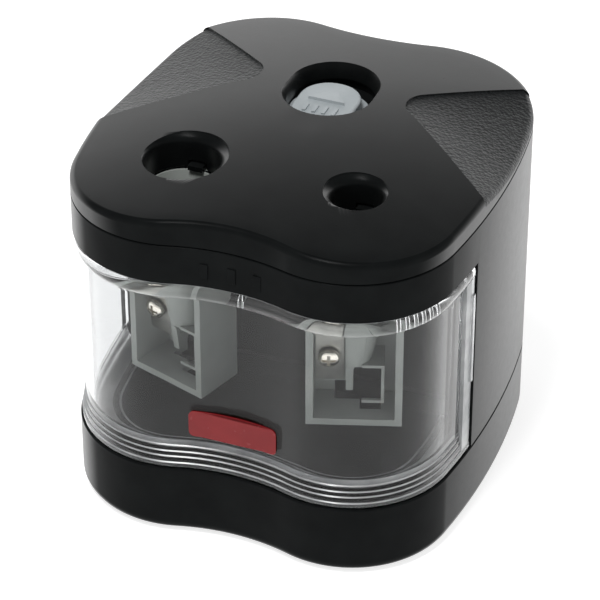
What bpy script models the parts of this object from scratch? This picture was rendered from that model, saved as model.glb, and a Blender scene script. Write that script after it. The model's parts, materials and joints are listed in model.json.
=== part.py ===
"""Battery pencil sharpener with two holes, as separate pieces in one collection.

Sizes are in millimetres, and MM turns them into Blender's metres. +Z is up, the front faces -Y, and the
origin is on the floor under the middle of the body.
"""

import math

import bmesh
import bpy
from mathutils import Matrix, Vector

MM = 0.001
GAP = 0.3

# Four-lobed outline, seen from above. The side and notch arcs are tangent to the lobes.
HALF_WIDTH = 40.0
LOBE_X, LOBE_Y, LOBE_R = 17.45, 19.6, 21.1
NOTCH_R = 41.0
SIDE_OFF = LOBE_X - HALF_WIDTH
SIDE_R = (LOBE_R**2 - SIDE_OFF**2 - LOBE_Y**2) / (2 * (SIDE_OFF + LOBE_R))
SIDE_X = HALF_WIDTH - SIDE_R
SIDE_ANGLE = math.atan2(LOBE_Y, LOBE_X - SIDE_X)
NOTCH_Y = LOBE_Y + math.sqrt((LOBE_R + NOTCH_R) ** 2 - LOBE_X**2)
NOTCH_ANGLE = math.atan2(NOTCH_Y - LOBE_Y, -LOBE_X)

# Heights
BASE_LOW, FLOOR_TOP, BASE_TOP = 0.8, 2.8, 15.5
WINDOW_TOP = 58.9
DECK_TOP = 60.5
SEAM = 67.1
CROWN_TOP, CROWN_DROP_X, CROWN_DROP_Y = 74.2, 2.95, 1.64
SKIN = 1.8

# Plan positions behind the window
PARTITION_FRONT, PARTITION_BACK = -4.5, -2.7
RIGHT_WALL_FRONT = -12.2
RIGHT_WALL_INNER = 38.2

# Pencil holes, cutters and gears
HOLE_X, HOLE_Y = 17.6, -18.7
COVER_BORES = {"left": 7.25, "right": 4.85}
CUTTER_BORES = {"left": 5.8, "right": 4.4}
CUTTER_TURNS = {"left": -18.0, "right": 19.0}
HUB_R = 7.2
MODULE = 0.8
CUTTER_TEETH, SMALL_TEETH, LARGE_TEETH, PINION_TEETH = 35, 20, 33, 12
IDLER_Y = HOLE_Y + math.sqrt((MODULE * (CUTTER_TEETH + SMALL_TEETH) / 2) ** 2 - HOLE_X**2)
MOTOR_Y = IDLER_Y + MODULE * (LARGE_TEETH + PINION_TEETH) / 2
LOW_GEARS, HIGH_GEARS = (61.0, 63.2), (63.6, 66.0)

# Button well, a slot with round ends
WELL_R, WELL_FRONT, WELL_BACK = 8.8, 12.1, 15.9
WELL_FLOOR = (66.9, 68.1)

# Finger scoops, each between two straight edges that would meet at one point
SCOOP_X, SCOOP_Y, SCOOP_LENGTH = 12.7, 15.5, 27.0
SCOOP_BACK, SCOOP_FRONT = 0.773, -0.935

# Battery bay
CELL_R, CELL_LENGTH = 7.1, 50.5
CELL_X, CELL_Y = (-22.5, -7.5, 7.5, 22.5), 28.6
DOOR_HALF, DOOR_FRONT, DOOR_TOP = 30.5, 17.5, 2.8
CONTACT = 0.4
SPRING_HEIGHT = 3.4

CASE_SCREWS = {
    "front_left": (-35.4, 0.2),
    "front_right": (35.4, 0.2),
    "rear_left": (-35.4, 12.5),
    "rear_right": (35.4, 12.5),
}
FEET = {
    "front_left": (-26.0, -25.0, 3.7),
    "front_right": (26.0, -25.0, 3.7),
    "rear_left": (-35.2, 24.5, 2.4),
    "rear_right": (35.2, 24.5, 2.4),
}


# Materials


def plastic(name, colour, roughness, metallic=0.0, transmission=0.0):
    """A Principled material of one finish."""
    material = bpy.data.materials.new(name)
    material.use_nodes = True
    shader = material.node_tree.nodes["Principled BSDF"]
    shader.inputs["Base Color"].default_value = (*colour, 1.0)
    shader.inputs["Roughness"].default_value = roughness
    shader.inputs["Metallic"].default_value = metallic
    shader.inputs["Transmission Weight"].default_value = transmission
    return material


def make_materials():
    return {
        "black": plastic("black_plastic", (0.025, 0.027, 0.03), 0.55),
        "clear": plastic("clear_plastic", (0.95, 0.96, 0.97), 0.05, transmission=1.0),
        "grey": plastic("cutter_grey_plastic", (0.22, 0.23, 0.22), 0.5),
        "light": plastic("button_grey_plastic", (0.35, 0.36, 0.36), 0.45),
        "white": plastic("gear_nylon", (0.75, 0.74, 0.7), 0.4),
        "red": plastic("red_label", (0.55, 0.02, 0.02), 0.35),
        "steel": plastic("steel", (0.6, 0.6, 0.6), 0.3, metallic=1.0),
        "nickel": plastic("nickel_plate", (0.75, 0.72, 0.66), 0.25, metallic=1.0),
        "cell": plastic("cell_sleeve", (0.12, 0.14, 0.2), 0.4),
        "rubber": plastic("rubber", (0.03, 0.03, 0.03), 0.85),
        "red_wire": plastic("red_wire", (0.5, 0.02, 0.02), 0.5),
        "black_wire": plastic("black_wire", (0.02, 0.02, 0.02), 0.5),
    }


# Objects


def clear_scene():
    for obj in list(bpy.data.objects):
        bpy.data.objects.remove(obj, do_unlink=True)


def make_collection(name):
    collection = bpy.data.collections.new(name)
    bpy.context.scene.collection.children.link(collection)
    return collection


def empty(name, location, turn=0.0):
    """An axis for moving pieces, turned about Z by so many degrees."""
    obj = bpy.data.objects.new(name, None)
    obj.location = Vector(location) * MM
    obj.rotation_euler.z = math.radians(turn)
    PIECES.objects.link(obj)
    return obj


def add_object(name, bm, material=None, parent=None):
    """Turns a bmesh in millimetres into an object. One with no material is a hidden cutter or filler."""
    bmesh.ops.scale(bm, verts=bm.verts, vec=(MM, MM, MM))
    bmesh.ops.recalc_face_normals(bm, faces=bm.faces)
    mesh = bpy.data.meshes.new(name)
    bm.to_mesh(mesh)
    bm.free()
    obj = bpy.data.objects.new(name, mesh)
    obj.parent = parent
    if material is None:
        obj.hide_render = True
        obj.display_type = "WIRE"
        HELPERS.objects.link(obj)
        return obj
    mesh.materials.append(MATERIALS[material])
    mesh.shade_smooth()
    mesh.set_sharp_from_angle(angle=math.radians(30))
    PIECES.objects.link(obj)
    return obj


def boolean(target, bm, operation):
    """Adds a Boolean modifier whose operand is the given shape, in the target's own space."""
    label = f"{target.name}_{operation.lower()}_{len(target.modifiers)}"
    operand = add_object(label, bm, parent=target.parent)
    modifier = target.modifiers.new(label, "BOOLEAN")
    modifier.operation = operation
    modifier.object = operand


def cut(target, *shapes):
    for bm in shapes:
        boolean(target, bm, "DIFFERENCE")


def join(target, *shapes):
    for bm in shapes:
        boolean(target, bm, "UNION")


# Shapes, in millimetres


def box(low, high):
    bm = bmesh.new()
    bmesh.ops.create_cube(bm, size=1.0)
    size = Vector(high) - Vector(low)
    bmesh.ops.scale(bm, verts=bm.verts, vec=size)
    bmesh.ops.translate(bm, verts=bm.verts, vec=Vector(low) + size / 2)
    return bm


def rod(radius, z_low, z_high, centre=(0.0, 0.0), low_radius=None, segments=32):
    """An upright cylinder, or a cone where low_radius differs."""
    bm = bmesh.new()
    middle = Matrix.Translation((*centre, (z_low + z_high) / 2))
    bmesh.ops.create_cone(
        bm,
        cap_ends=True,
        segments=segments,
        radius1=radius if low_radius is None else low_radius,
        radius2=radius,
        depth=z_high - z_low,
        matrix=middle,
    )
    return bm


def loft(rings):
    """A solid through rings of the same number of points, closed by the first and the last."""
    bm = bmesh.new()
    rows = [[bm.verts.new(point) for point in ring] for ring in rings]
    count = len(rows[0])
    for low, high in zip(rows, rows[1:]):
        for k in range(count):
            after = (k + 1) % count
            bm.faces.new((low[k], low[after], high[after], high[k]))
    bm.faces.new(reversed(rows[0]))
    bm.faces.new(rows[-1])
    return bm


def flat(points, z):
    return [(x, y, z) for x, y in points]


def prism(points, z_low, z_high):
    return loft([flat(points, z_low), flat(points, z_high)])


def side_prism(points, x_low, x_high):
    """A prism along X on an outline of (y, z) points."""
    return loft([[(x, y, z) for y, z in points] for x in (x_low, x_high)])


def turned(name, profile, material, location=(0.0, 0.0, 0.0), tilt=0.0, segments=20, parent=None):
    """A turned piece: (radius, z) points from the top down the outer side, about its own Z axis."""
    bm = bmesh.new()
    verts = [bm.verts.new((radius * MM, 0.0, z * MM)) for radius, z in profile]
    for a, b in zip(verts, verts[1:]):
        bm.edges.new((a, b))
    mesh = bpy.data.meshes.new(name)
    bm.to_mesh(mesh)
    bm.free()
    mesh.materials.append(MATERIALS[material])
    obj = bpy.data.objects.new(name, mesh)
    obj.parent = parent
    obj.location = Vector(location) * MM
    obj.rotation_euler.x = math.radians(tilt)
    screw = obj.modifiers.new("turn", "SCREW")
    screw.steps = screw.render_steps = segments
    screw.use_merge_vertices = True
    screw.merge_threshold = 0.00001
    screw.use_smooth_shade = True
    PIECES.objects.link(obj)
    return obj


def wire(name, points, radius, material):
    """A round wire through the given points."""
    curve = bpy.data.curves.new(name, "CURVE")
    curve.dimensions = "3D"
    curve.bevel_depth = radius * MM
    curve.bevel_resolution = 1
    curve.use_fill_caps = True
    spline = curve.splines.new("POLY")
    spline.points.add(len(points) - 1)
    for target, point in zip(spline.points, points):
        target.co = (*(Vector(point) * MM), 1.0)
    curve.materials.append(MATERIALS[material])
    obj = bpy.data.objects.new(name, curve)
    PIECES.objects.link(obj)
    return obj


def coil(name, start, length, radius, turns, wire_radius, along="z", steps=8):
    """A compression spring from start along +Y or +Z."""
    points = []
    for k in range(turns * steps + 1):
        angle = 2 * math.pi * k / steps
        run = length * k / (turns * steps)
        across, side = radius * math.cos(angle), radius * math.sin(angle)
        offset = (across, run, side) if along == "y" else (across, side, run)
        points.append(Vector(start) + Vector(offset))
    return wire(name, points, wire_radius, "steel")


# Outlines


def arc(centre, radius, start, end, steps):
    """Points along an arc, leaving out its end."""
    angles = [start + (end - start) * k / steps for k in range(steps)]
    return [(centre[0] + radius * math.cos(a), centre[1] + radius * math.sin(a)) for a in angles]


def outline(inset=0.0):
    """The four-lobed outline, drawn in by inset all round."""
    lobe, notch, side = LOBE_R - inset, NOTCH_R + inset, SIDE_R - inset
    half = arc((SIDE_X, 0), side, -SIDE_ANGLE, SIDE_ANGLE, 2)
    half += arc((LOBE_X, LOBE_Y), lobe, SIDE_ANGLE, NOTCH_ANGLE, 9)
    half += arc((0, NOTCH_Y), notch, NOTCH_ANGLE - math.pi, -NOTCH_ANGLE, 4)
    half += arc((-LOBE_X, LOBE_Y), lobe, math.pi - NOTCH_ANGLE, math.pi - SIDE_ANGLE, 9)
    return half + [(-x, -y) for x, y in half]


def slot(radius, front, back, steps=9):
    """A slot along Y with round ends centred at front and back."""
    return arc((0, back), radius, 0, math.pi, steps) + [(-radius, back)] + arc(
        (0, front), radius, math.pi, 2 * math.pi, steps
    ) + [(radius, front)]


def rounded(x_half, y_low, y_high, front_radius, back_radius, steps=5):
    """A rectangle with round corners."""
    quarter = math.pi / 2
    points = []
    corners = [
        (x_half - back_radius, y_high - back_radius, back_radius, 0),
        (back_radius - x_half, y_high - back_radius, back_radius, 1),
        (front_radius - x_half, y_low + front_radius, front_radius, 2),
        (x_half - front_radius, y_low + front_radius, front_radius, 3),
    ]
    for x, y, radius, turn in corners:
        points += arc((x, y), radius, turn * quarter, (turn + 1) * quarter, steps)
        end = (turn + 1) * quarter
        points.append((x + radius * math.cos(end), y + radius * math.sin(end)))
    return points


def clipped(points, axis, limit, side):
    """The part of an outline past a limit on one axis: side is 1 for the larger values, -1 for the smaller."""
    kept = []
    for a, b in zip(points, points[1:] + points[:1]):
        a_in, b_in = side * (a[axis] - limit) >= 0, side * (b[axis] - limit) >= 0
        if a_in:
            kept.append(a)
        if a_in != b_in:
            share = (limit - a[axis]) / (b[axis] - a[axis])
            kept.append(tuple(p + (q - p) * share for p, q in zip(a, b)))
    return kept


def crown(x, y):
    """Height of the domed top."""
    return CROWN_TOP - CROWN_DROP_X * (x / HALF_WIDTH) ** 2 - CROWN_DROP_Y * (y / HALF_WIDTH) ** 2


def domed(points, lift, scale=1.0):
    """A ring that follows the dome, lifted or sunk by lift and shrunk towards the middle by scale."""
    return [(x * scale, y * scale, crown(x * scale, y * scale) + lift) for x, y in points]


# Gears


def gear_outline(teeth, phase, backlash=0.12):
    """Straight-sided chords of an involute spur gear, with a tooth centred at phase."""
    pressure = math.radians(20)
    pitch = MODULE * teeth / 2
    base = pitch * math.cos(pressure)
    root, tip = pitch - 1.15 * MODULE, pitch + 0.8 * MODULE

    def half_tooth(radius):
        turn = math.acos(min(1.0, base / radius))
        pitch_half = math.pi / (2 * teeth) * (1 - backlash)
        return pitch_half + math.tan(pressure) - pressure - (math.tan(turn) - turn)

    points = []
    for tooth in range(teeth):
        middle = phase + 2 * math.pi * tooth / teeth
        rise = [(root, half_tooth(max(root, base))), (pitch, half_tooth(pitch)), (tip, half_tooth(tip))]
        flank = [(r, -half) for r, half in rise] + [(r, half) for r, half in reversed(rise)]
        points += [(r * math.cos(middle + a), r * math.sin(middle + a)) for r, a in flank]
    return points


def mate_phase(phase, teeth, mate_teeth, direction):
    """Phase of a gear that meshes with another whose centre lies in the given direction."""
    share = ((direction - phase) * teeth / (2 * math.pi)) % 1
    return direction + math.pi - (0.5 - share) * 2 * math.pi / mate_teeth


def moved(bm, x, y):
    bmesh.ops.translate(bm, verts=bm.verts, vec=(x, y, 0))
    return bm


# Housing


def make_base_tray():
    rings = [(BASE_LOW, 1.0), (1.8, 0.2), (2.6, 0.0), (BASE_TOP, 0.0)]
    tray = add_object("base_tray", loft([flat(outline(inset), z) for z, inset in rings]), "black")
    inner = outline(SKIN)
    cut(tray, prism(inner, FLOOR_TOP, 13.7))
    cut(tray, prism(clipped(inner, 1, -1.5, 1), 10.0, 20.0))
    for x, y in CASE_SCREWS.values():
        join(tray, rod(3.4, 1.7, BASE_TOP - 0.2, (x, y), segments=16))
    cut(tray, box((-DOOR_HALF - GAP, DOOR_FRONT - GAP, 0), (DOOR_HALF + GAP, 45, DOOR_TOP + GAP)))
    for x, y in CASE_SCREWS.values():
        cut(tray, rod(2.9, 0, 4.0, (x, y), segments=16), rod(1.3, 3, 20, (x, y), segments=10))
    for x, y, radius in FEET.values():
        cut(tray, rod(radius + GAP, 0, 1.7, (x, y), segments=16))


def make_body_shell():
    shell = add_object("body_shell", prism(outline(), BASE_TOP + GAP, SEAM), "black")
    edge = 45.0
    window = [
        (-edge, -edge),
        (edge, -edge),
        (edge, RIGHT_WALL_FRONT),
        (RIGHT_WALL_INNER, RIGHT_WALL_FRONT),
        (RIGHT_WALL_INNER, PARTITION_FRONT),
        (-edge, PARTITION_FRONT),
    ]
    cut(shell, prism(window, 10, WINDOW_TOP))
    inner = outline(SKIN)
    cut(shell, prism(clipped(inner, 1, PARTITION_BACK, 1), 10, WINDOW_TOP))
    cut(shell, prism(inner, DECK_TOP, 70))
    for x, y in CASE_SCREWS.values():
        join(shell, rod(3.4, BASE_TOP + 2 * GAP, 34, (x, y), segments=16))
        cut(shell, rod(1.3, 10, 30, (x, y), segments=10))
    for side in (-1, 1):
        near, far, stop = sorted((side * 22, side * 27.5)), side * 27.5, side * 24.4
        join(shell, box((near[0], -4.0, 60), (near[1], 2.0, 66.0)))
        join(shell, box((min(far, stop), -4.0, 65), (max(far, stop), 2.0, 67.0)))
        cut(shell, rod(9.3, 58, 62, (side * HOLE_X, HOLE_Y), segments=24))
        cut(shell, rod(1.3, 58, 62, (side * 7.6, MOTOR_Y), segments=10))
    join(shell, box((-21.5, 6.6, 60), (-18.5, 8.0, 67.0)))
    cut(shell, rod(3.2, 58, 62, (0, MOTOR_Y), segments=20))
    cut(shell, rod(1.8, 57, 62, (0, IDLER_Y), segments=16))


def make_fasteners():
    for place, (x, y) in CASE_SCREWS.items():
        profile = [(0, 26), (1.0, 26), (1.0, 3.7), (2.5, 3.7), (2.5, 2.8), (1.8, 2.2), (0, 2.2)]
        screw = turned(f"case_screw_{place}", profile, "steel", (x, y, 0), segments=12)
        cut(screw, moved(box((-1.5, -0.3, 2.0), (1.5, 0.3, 2.9)), x, y))
        cut(screw, moved(box((-0.3, -1.5, 2.0), (0.3, 1.5, 2.9)), x, y))
    for place, (x, y, radius) in FEET.items():
        profile = [(0, 1.5), (radius, 1.5), (radius, 0.3), (radius - 0.3, 0), (0, 0)]
        turned(f"foot_{place}", profile, "rubber", (x, y, 0), segments=16)


# Battery bay


def make_battery_bay():
    spring_gap = SPRING_HEIGHT + 2 * GAP
    floor = DOOR_TOP + GAP + CONTACT
    ceiling = WINDOW_TOP - GAP - CONTACT
    for number, x in enumerate(CELL_X, 1):
        nub_up = number % 2 == 1
        low = floor + (spring_gap if nub_up else GAP)
        high = low + CELL_LENGTH
        if nub_up:
            profile = [(0, high), (2.7, high), (2.7, high - 1), (CELL_R, high - 1), (CELL_R, low), (0, low)]
        else:
            profile = [(0, high), (CELL_R, high), (CELL_R, low + 1), (2.7, low + 1), (2.7, low), (0, low)]
        turned(f"battery_cell_{number}", profile, "cell", (x, CELL_Y, 0))
        start = floor + GAP if nub_up else high + GAP
        coil(f"cell_spring_{number}", (x, CELL_Y, start + 0.3), SPRING_HEIGHT - 0.6, 2.5, 2, 0.3)
    tops = {"terminal_left": (-27, -18), "contact_bridge": (-12, 12), "terminal_right": (18, 27)}
    for name, (x_low, x_high) in tops.items():
        add_object(name, box((x_low, 23, ceiling), (x_high, 33, ceiling + CONTACT)), "nickel")
    for name, (x_low, x_high) in {"door_contact_left": (-28, -2), "door_contact_right": (2, 28)}.items():
        add_object(name, box((x_low, 24, floor - CONTACT), (x_high, 33, floor)), "nickel")


def make_battery_door():
    plan = clipped(outline(0.2), 1, DOOR_FRONT, 1)
    plan = clipped(clipped(plan, 0, DOOR_HALF, -1), 0, -DOOR_HALF, 1)
    hinge = empty("battery_door_hinge", (0, DOOR_FRONT, BASE_LOW))
    door = add_object("battery_door", moved(prism(plan, 0, DOOR_TOP - BASE_LOW), 0, -DOOR_FRONT), "black", hinge)
    for k in range(5):
        y = 14.0 + 1.2 * k
        cut(door, box((-6, y, -1), (6, y + 0.6, 0.4)))


# Motor and gear train


def make_motor():
    profile = [(0, 60.2), (2.9, 60.2), (2.9, 58.6), (9.9, 58.6), (9.9, 34), (0, 34)]
    can = turned("motor_can", profile, "nickel", (0, MOTOR_Y, 0), segments=28)
    cut(can, rod(1.3, 50, 62, (0, MOTOR_Y), segments=12))
    cap = turned("motor_end_cap", [(0, 33.7), (9.9, 33.7), (9.9, 31.5), (7, 30.5), (0, 30.5)], "white", (0, MOTOR_Y, 0))
    for side, place in ((-1, "left"), (1, "right")):
        x = side * 7.6
        cut(can, rod(1.3, 55, 59, (x, MOTOR_Y), segments=12))
        join(cap, box((side * 4.5 - 0.8, MOTOR_Y - 0.3, 28.5), (side * 4.5 + 0.8, MOTOR_Y + 0.3, 31)))
        profile = [(0, 61.8), (1.2, 61.8), (1.6, 61.4), (1.6, 60.8), (1.0, 60.8), (1.0, 56), (0, 56)]
        turned(f"motor_screw_{place}", profile, "steel", (x, MOTOR_Y, 0), segments=12)
    axis = empty("motor_axis", (0, MOTOR_Y, 0))
    turned("motor_shaft", [(0, 63.3), (1.0, 63.3), (1.0, 51), (0, 51)], "steel", segments=12, parent=axis)
    phase = mate_phase(0.0, LARGE_TEETH, PINION_TEETH, math.pi / 2)
    low, high = LOW_GEARS
    pinion = add_object("motor_pinion", prism(gear_outline(PINION_TEETH, phase), low, high), "white", axis)
    cut(pinion, rod(1.3, low - 1, high + 1, segments=12))


def make_motor_leads():
    red = [(-4.5, 11.2, 29), (-9, 10, 27.5), (-16, 12, 29), (-23, 14, 36), (-26.5, 15.5, 46), (-26, 17, 54)]
    turned_up = [(-25.5, 18.6, 57.0), (-25, 20.5, 57.3)]
    wire("motor_lead_red", red + turned_up, 0.5, "red_wire")
    wire("motor_lead_black", [(-x, y, z) for x, y, z in red + turned_up], 0.5, "black_wire")


def make_idler():
    axis = empty("idler_axis", (0, IDLER_Y, 0))
    gear = add_object("compound_gear", prism(gear_outline(LARGE_TEETH, 0.0), *LOW_GEARS), "white", axis)
    join(gear, prism(gear_outline(SMALL_TEETH, 0.0), LOW_GEARS[1] - 0.5, HIGH_GEARS[1]))
    cut(gear, rod(1.8, 60, 67, segments=16))
    turned("idler_shaft", [(0, 66.0), (1.5, 66.0), (1.5, 57.3), (0, 57.3)], "steel", (0, IDLER_Y, 0), segments=16)


def make_cutter(side):
    """Gear, carrier, blade and blade screw of one pencil hole, about the hole's own axis."""
    x = -HOLE_X if side == "left" else HOLE_X
    bore = CUTTER_BORES[side]
    turn = CUTTER_TURNS[side]
    axis = empty(f"{side}_cutter_axis", (x, HOLE_Y, 0), turn)

    toward = math.atan2(HOLE_Y - IDLER_Y, x)
    phase = mate_phase(0.0, SMALL_TEETH, CUTTER_TEETH, toward) - math.radians(turn)
    low, high = HIGH_GEARS
    gear = add_object(f"{side}_cutter_gear", prism(gear_outline(CUTTER_TEETH, phase), low, high), "grey", axis)
    cut(gear, rod(bore, low - 1, high + 1, segments=24))
    cut(gear, rod(COVER_BORES[side] - GAP, low, high + GAP, low_radius=bore, segments=24))

    # The box is open at the front. Its cone holds the pencil, and the blade lies against the cone.
    width, front, back, foot, head, wall = 9.2, -6.2, 4.8, 24.4, 57.6, 1.4
    tip, tip_z = 1.4, 33.0
    slope = (CUTTER_BORES["left"] - tip) / (head - tip_z)

    def blade_y(z):
        return -tip - slope * (z - tip_z)

    carrier = add_object(f"{side}_cutter_carrier", box((-width, front, foot), (width, back, head)), "grey", axis)
    cut(carrier, box((wall - width, front - 2, foot + wall), (width - wall, back - wall, head - wall)))
    seat = [(blade_y(31) + 0.4, 31), (blade_y(57) + 0.4, 57), (back - 0.5, 57), (back - 0.5, 31)]
    rib = [(blade_y(32) - 1.0, 32), (blade_y(57) - 0.2, 57), (1.0, 57), (1.0, 32)]
    join(carrier, side_prism(seat, 0.5 - width, -1.0), side_prism(rib, -1.7, -0.3))
    join(carrier, rod(CUTTER_BORES["left"] + 1.3, 35.5, 57, low_radius=tip + slope * 2.5 + 1.3, segments=24))
    cut(carrier, box((-12, -12, 20), (12, front, head - GAP)))
    bay = [(blade_y(30.9) + 0.4, 30.9), (blade_y(56.2) + 0.4, 56.2), (-12, 56.2), (-12, 30.9)]
    cut(carrier, side_prism(bay, wall - width, -1.75))
    join(carrier, rod(HUB_R, head - 0.5, low - GAP, segments=24))
    start = tip_z + (bore - tip) / slope
    cut(carrier, rod(bore, tip_z, start, low_radius=tip, segments=24))
    if start < low:
        cut(carrier, rod(bore, start - 0.02, low + 1, segments=24))
    screw_z, tilt = 38.5, math.atan(slope)
    screw_y = blade_y(screw_z)
    hole = rod(1.4, -5, 3, segments=12)
    lay = Matrix.Translation((-4.9, screw_y, screw_z)) @ Matrix.Rotation(math.pi / 2 + tilt, 4, "X")
    bmesh.ops.transform(hole, matrix=lay, verts=hole.verts)
    cut(carrier, hole.copy())

    plate = [(blade_y(z) + off, z) for z, off in ((32.0, 0.1), (54.5, 0.1), (54.5, -0.5), (32.0, -0.5))]
    blade = add_object(f"{side}_blade", side_prism(plate, wall - width + GAP, -2.0), "steel", axis)
    cut(blade, hole)

    profile = [(0, 2.2), (1.4, 2.2), (2.1, 1.6), (2.1, 0.8), (1.1, 0.8), (1.1, -3.5), (0, -3.5)]
    place = (-4.9, screw_y, screw_z)
    screw = turned(f"{side}_blade_screw", profile, "nickel", place, math.degrees(math.pi / 2 + tilt), 20, axis)
    for half_x, half_y in ((1.3, 0.3), (0.3, 1.3)):
        slit = box((-half_x, -half_y, 1.5), (half_x, half_y, 3))
        bmesh.ops.transform(slit, matrix=lay, verts=slit.verts)
        cut(screw, slit)

    bush = [(HUB_R + GAP, 60.7), (9.0, 60.7), (9.0, 58.6), (10.4, 58.6), (10.4, 57.9), (HUB_R + GAP, 57.9)]
    turned(f"{side}_bush", bush + bush[:1], "white", (x, HOLE_Y, 0), segments=24)


# Start switch


def make_start_switch():
    bar = add_object("feeler_bar", box((-24.1, -4.5, 66.3), (24.1, -0.5, 67.3)), "black")
    join(bar, box((-HOLE_X - 1.5, -13.0, 66.3), (-HOLE_X + 1.5, -2, 67.3)))
    join(bar, box((HOLE_X - 1.5, -15.3, 66.3), (HOLE_X + 1.5, -2, 67.3)))
    coil("feeler_spring", (-20, -0.0, 66.8), 6.1, 0.9, 3, 0.2, along="y")
    switch = add_object("start_switch", box((14, 4.2, 60.8), (24, 10, 67.4)), "black")
    join(switch, box((18.4, 1.7, 66.4), (19.6, 4.5, 67.2)))


# Top cover and latch


def make_top_cover():
    rim = outline()
    rings = [flat(rim, SEAM + GAP), domed(rim, -1.1), domed(outline(0.35), -0.35), domed(outline(1.1), 0)]
    rings += [domed(outline(1.1), 0, scale) for scale in (0.72, 0.42)]
    cover = add_object("top_cover", loft(rings), "black")
    lip, cavity = outline(2.1), outline(3.1)
    join(cover, prism(lip, 65.6, 68.0))
    ceiling = outline(4.2)
    cut(cover, loft([flat(cavity, 65), flat(cavity, 68.3), domed(ceiling, -3.2), domed(ceiling, -2.2, 0.5)]))
    for side, bore in COVER_BORES.items():
        centre = (-HOLE_X if side == "left" else HOLE_X, HOLE_Y)
        face = crown(*centre)
        join(cover, rod(bore + 1.6, 66.3, 72, centre, segments=28))
        cut(cover, rod(bore, 60, 80, centre, segments=28))
        cut(cover, rod(bore + 1.5, face - 1.0, face + 0.5, centre, low_radius=bore, segments=28))
        cut(cover, box((centre[0] - 1.9, HOLE_Y + 4, 66), (centre[0] + 1.9, HOLE_Y + 10, 67.8)))
    join(cover, prism(slot(WELL_R + 1.2, WELL_FRONT, WELL_BACK), WELL_FLOOR[0], 72))
    join(cover, box((-2.5, 23.6, 64.2), (2.5, 25.2, 67.5)))
    cut(cover, prism(slot(WELL_R, WELL_FRONT, WELL_BACK), WELL_FLOOR[1], 80))
    cut(cover, box((-2.6, 7.6, 64), (2.6, 16.3, 70)))
    for side in (-1, 1):
        cut(cover, scoop(side))


def sunk(x, y):
    """How far a finger scoop lies under the dome: least along its edges, most half way along the rim."""
    out = x - SCOOP_X
    across = (y - SCOOP_Y - SCOOP_FRONT * out) / ((SCOOP_BACK - SCOOP_FRONT) * out)
    across = min(1.0, max(0.0, across))
    return 0.4 + 8.0 * (out / SCOOP_LENGTH) ** 1.5 * across * (1 - across)


def scoop(side):
    """A shallow finger recess with a rounded V outline that opens to the side of the cover."""
    plan = arc((20.2, 15.0), 5.0, math.pi * 1.5 - 0.45, math.pi - 0.95, 6)
    plan += [(26.0, 25.8), (33.5, 31.6), (44.0, 31.6), (44.0, 23.0), (44.0, 14.0), (44.0, 5.0), (44.0, -3.0)]
    plan += [(44.0, -10.5), (40.5, -10.5), (29.0, 0.26)]
    middle = (28.0, 13.0)

    def floor(scale):
        points = [[m + (p - m) * scale for p, m in zip(point, middle)] for point in plan]
        return [(side * x, y, crown(x, y) - sunk(x, y)) for x, y in points]

    top = [(side * x, y, 78.0) for x, y in plan]
    return loft([top, floor(1.0), floor(0.7), floor(0.4), floor(0.15)])


def make_slide_button():
    button = add_object("slide_button", rod(WELL_R - 0.4, WELL_FLOOR[1] + GAP, 69.6, (0, WELL_FRONT), segments=32), "light")
    join(button, prism(rounded(6.2, 4.0, 18.8, 4.6, 6.0), 69.0, 72.3))
    join(button, box((-2.2, 8.0, 66.9), (2.2, 12.4, 69.2)))
    add_object("latch_plate", box((-13, 6.0, 65.4), (13, 12.4, 66.6)), "white")
    coil("latch_spring", (0, 12.9, 65.3), 10.2, 1.0, 4, 0.25, along="y")


# Shavings drawer


def make_drawer():
    rings = [
        (BASE_TOP + GAP, 0.3),
        (17.2, 0.3),
        (17.5, 0.6),
        (19.2, 0.7),
        (19.5, 1.0),
        (22.0, 1.2),
        (54.8, 1.2),
        (55.6, 0.5),
        (56.8, 0.3),
        (58.0, 0.5),
        (WINDOW_TOP - GAP, 1.1),
    ]
    drawer = add_object("drawer", loft([flat(outline(inset), z) for z, inset in rings]), "clear")
    back, right = PARTITION_FRONT - GAP, RIGHT_WALL_INNER - 0.6
    wall, floor = 1.4, 17.4
    cut(drawer, box((-50, back, 10), (50, 50, 65)))
    cut(drawer, box((right, RIGHT_WALL_FRONT - GAP, 10), (50, 50, 65)))
    inner = clipped(outline(2.6), 1, back - wall, -1)
    cut(drawer, prism(clipped(inner, 0, right - wall, -1), floor, 65))
    cut(drawer, box((-37.2, -8, 21.3), (right - wall, 0, 65)))
    join(drawer, box((37.4, -15.5, 32), (39.1, -12.8, 52)))
    arc_half = math.asin(8.8 / NOTCH_R)
    outer = arc((0, -NOTCH_Y), NOTCH_R + 0.5, math.pi / 2 - arc_half, math.pi / 2 + arc_half, 10)
    inner = arc((0, -NOTCH_Y), NOTCH_R + 0.95, math.pi / 2 - arc_half, math.pi / 2 + arc_half, 10)
    add_object("drawer_label", prism(outer + inner[::-1], 23.2, 29.2), "red")


def build():
    make_base_tray()
    make_body_shell()
    make_fasteners()
    make_battery_bay()
    make_battery_door()
    make_motor()
    make_motor_leads()
    make_idler()
    make_cutter("left")
    make_cutter("right")
    make_start_switch()
    make_top_cover()
    make_slide_button()
    make_drawer()


clear_scene()
PIECES = make_collection("pencil_sharpener")
HELPERS = make_collection("cutters")
MATERIALS = make_materials()
build()
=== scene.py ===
import json
import math

import bmesh
import bpy
from mathutils import Matrix, Vector


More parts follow.
